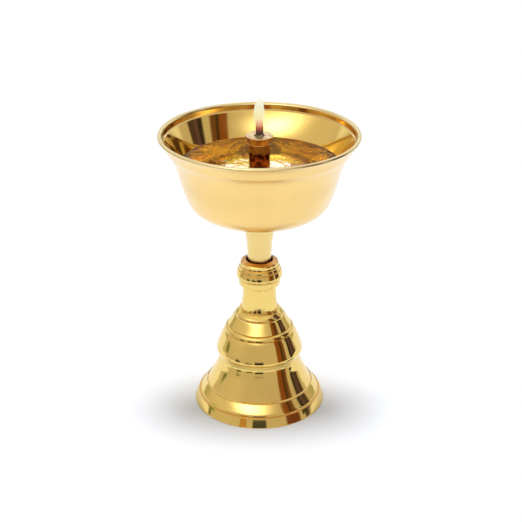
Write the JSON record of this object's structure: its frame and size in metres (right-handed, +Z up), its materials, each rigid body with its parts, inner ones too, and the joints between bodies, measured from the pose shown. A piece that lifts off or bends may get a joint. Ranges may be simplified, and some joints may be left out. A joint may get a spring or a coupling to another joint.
{
  "type": "pedestal oil lamp",
  "caption": "Polished brass pedestal oil lamp: flared bowl with a lift-off central wick tube and cotton wick, screwed on a turned neck and a stepped bell foot.",
  "frame": {"origin": "centre of the foot's underside, where the lamp stands on the table", "axes": "+Z up along the turning axis; +X and +Y are alike, because every visible piece is turned about Z"},
  "size_m": [0.084, 0.084, 0.1303],
  "materials": {
    "foot_brass": "mirror polished, slightly darker in the grooves",
    "neck_brass": "mirror polished",
    "bowl_brass": "satin polished outside, mirror polished inside",
    "stem_brass": "satin polished",
    "tube_brass": "heat-tarnished and oil-wet",
    "hardware_brass": "plain turned, dull",
    "seal_rubber": "matt black",
    "fibre_washer": "vulcanised fibre, matt",
    "wick_cotton": "twisted cotton, charred at the tip",
    "lamp_oil": "clear amber liquid",
    "flame": "glowing"
  },
  "bodies": {
    "pedestal": {"bell_base": "foot_brass", "neck_column": "neck_brass", "base_washer": "hardware_brass", "base_nut": "hardware_brass"},
    "washer": {"socket_washer": "fibre_washer"},
    "bowl": {"stem": "stem_brass", "stem_stud": "hardware_brass", "bowl": "bowl_brass", "bowl_gasket": "seal_rubber", "peg_screw": "hardware_brass", "peg_seal": "seal_rubber"},
    "wick_holder": {"wick_tube": "tube_brass"},
    "wick": {"wick": "wick_cotton"}
  },
  "joints": [
    {"name": "bowl_rise", "type": "slide", "parent": "pedestal", "child": "washer", "axis": [0, 0, 1], "range_m": [0, 0.013]},
    {"name": "bowl_turn", "type": "hinge", "parent": "washer", "child": "bowl", "pos_m": [0, 0, 0.061], "axis": [0, 0, 1], "range_deg": [0, 4680]},
    {"name": "wick_tube_lift", "type": "slide", "parent": "bowl", "child": "wick_holder", "axis": [0, 0, 1], "range_m": [0, 0.036]},
    {"name": "wick_feed", "type": "slide", "parent": "wick_holder", "child": "wick", "axis": [0, 0, 1], "range_m": [0, 0.01]}
  ],
  "couplings": [
    {"joint": "bowl_rise", "follows": "bowl_turn", "m_per_rad": 0.00015915}
  ]
}
